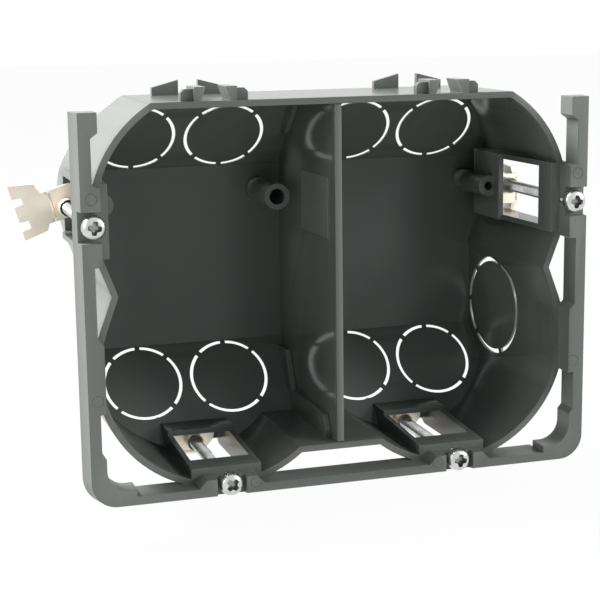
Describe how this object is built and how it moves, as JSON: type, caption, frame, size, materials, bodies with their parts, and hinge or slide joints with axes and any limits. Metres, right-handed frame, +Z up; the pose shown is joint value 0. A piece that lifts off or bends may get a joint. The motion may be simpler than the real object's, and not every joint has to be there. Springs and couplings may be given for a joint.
{
  "type": "flush back box",
  "caption": "Two-gang flush back box for hollow walls with a partition, a U-shaped frame, break-out cable entries and toothed claws drawn forward by long screws.",
  "frame": {"origin": "middle of the box's front: on the front of the frame, midway between the gangs and between the upper and lower lobes", "axes": "+X across the box to the right, +Y into the wall, +Z up"},
  "size_m": [0.1373, 0.0549, 0.0978],
  "materials": {
    "moulded_plastic": "satin moulded",
    "screw_steel": "bright zinc plated",
    "claw_steel": "satin zinc plated"
  },
  "bodies": {
    "box": {"back_box": "moulded_plastic", "partition": "moulded_plastic"},
    "screw_left": {"screw_left": "screw_steel"},
    "carrier_left": {"carrier_left": "claw_steel"},
    "claw_left": {"claw_left": "claw_steel"},
    "screw_right": {"screw_right": "screw_steel"},
    "carrier_right": {"carrier_right": "claw_steel"},
    "claw_right": {"claw_right": "claw_steel"},
    "screw_bottom_left": {"screw_bottom_left": "screw_steel"},
    "carrier_bottom_left": {"carrier_bottom_left": "claw_steel"},
    "claw_bottom_left": {"claw_bottom_left": "claw_steel"},
    "screw_bottom_right": {"screw_bottom_right": "screw_steel"},
    "carrier_bottom_right": {"carrier_bottom_right": "claw_steel"},
    "claw_bottom_right": {"claw_bottom_right": "claw_steel"}
  },
  "joints": [
    {"name": "screw_left_turn", "type": "hinge", "parent": "box", "child": "screw_left", "pos_m": [-0.0591, 0, 0.0168], "axis": [0, 1, 0], "range_deg": [0, 18000]},
    {"name": "carrier_left_travel", "type": "slide", "parent": "box", "child": "carrier_left", "axis": [0, -1, 0], "range_m": [0, 0.025]},
    {"name": "claw_left_fold", "type": "hinge", "parent": "carrier_left", "child": "claw_left", "pos_m": [-0.06237, 0.041, 0.01586], "axis": [0.2756, 0, -0.9613], "range_deg": [0, 90]},
    {"name": "screw_right_turn", "type": "hinge", "parent": "box", "child": "screw_right", "pos_m": [0.0591, 0, 0.0168], "axis": [0, 1, 0], "range_deg": [0, 18000]},
    {"name": "carrier_right_travel", "type": "slide", "parent": "box", "child": "carrier_right", "axis": [0, -1, 0], "range_m": [0, 0.025]},
    {"name": "claw_right_fold", "type": "hinge", "parent": "carrier_right", "child": "claw_right", "pos_m": [0.0625, 0.041, 0.0168], "axis": [0, 0, 1], "range_deg": [-90, 0]},
    {"name": "screw_bottom_left_turn", "type": "hinge", "parent": "box", "child": "screw_bottom_left", "pos_m": [-0.0289, 0, -0.04565], "axis": [0, 1, 0], "range_deg": [0, 18000]},
    {"name": "carrier_bottom_left_travel", "type": "slide", "parent": "box", "child": "carrier_bottom_left", "axis": [0, -1, 0], "range_m": [0, 0.025]},
    {"name": "claw_bottom_left_fold", "type": "hinge", "parent": "carrier_bottom_left", "child": "claw_bottom_left", "pos_m": [-0.0289, 0.041, -0.04905], "axis": [1, 0, 0], "range_deg": [-90, 0]},
    {"name": "screw_bottom_right_turn", "type": "hinge", "parent": "box", "child": "screw_bottom_right", "pos_m": [0.0289, 0, -0.04565], "axis": [0, 1, 0], "range_deg": [0, 18000]},
    {"name": "carrier_bottom_right_travel", "type": "slide", "parent": "box", "child": "carrier_bottom_right", "axis": [0, -1, 0], "range_m": [0, 0.025]},
    {"name": "claw_bottom_right_fold", "type": "hinge", "parent": "carrier_bottom_right", "child": "claw_bottom_right", "pos_m": [0.0289, 0.041, -0.04905], "axis": [1, 0, 0], "range_deg": [-90, 0]}
  ],
  "couplings": [
    {"joint": "screw_left_turn", "follows": "carrier_left_travel", "rad_per_m": 12566},
    {"joint": "screw_right_turn", "follows": "carrier_right_travel", "rad_per_m": 12566},
    {"joint": "screw_bottom_left_turn", "follows": "carrier_bottom_left_travel", "rad_per_m": 12566},
    {"joint": "screw_bottom_right_turn", "follows": "carrier_bottom_right_travel", "rad_per_m": 12566}
  ]
}
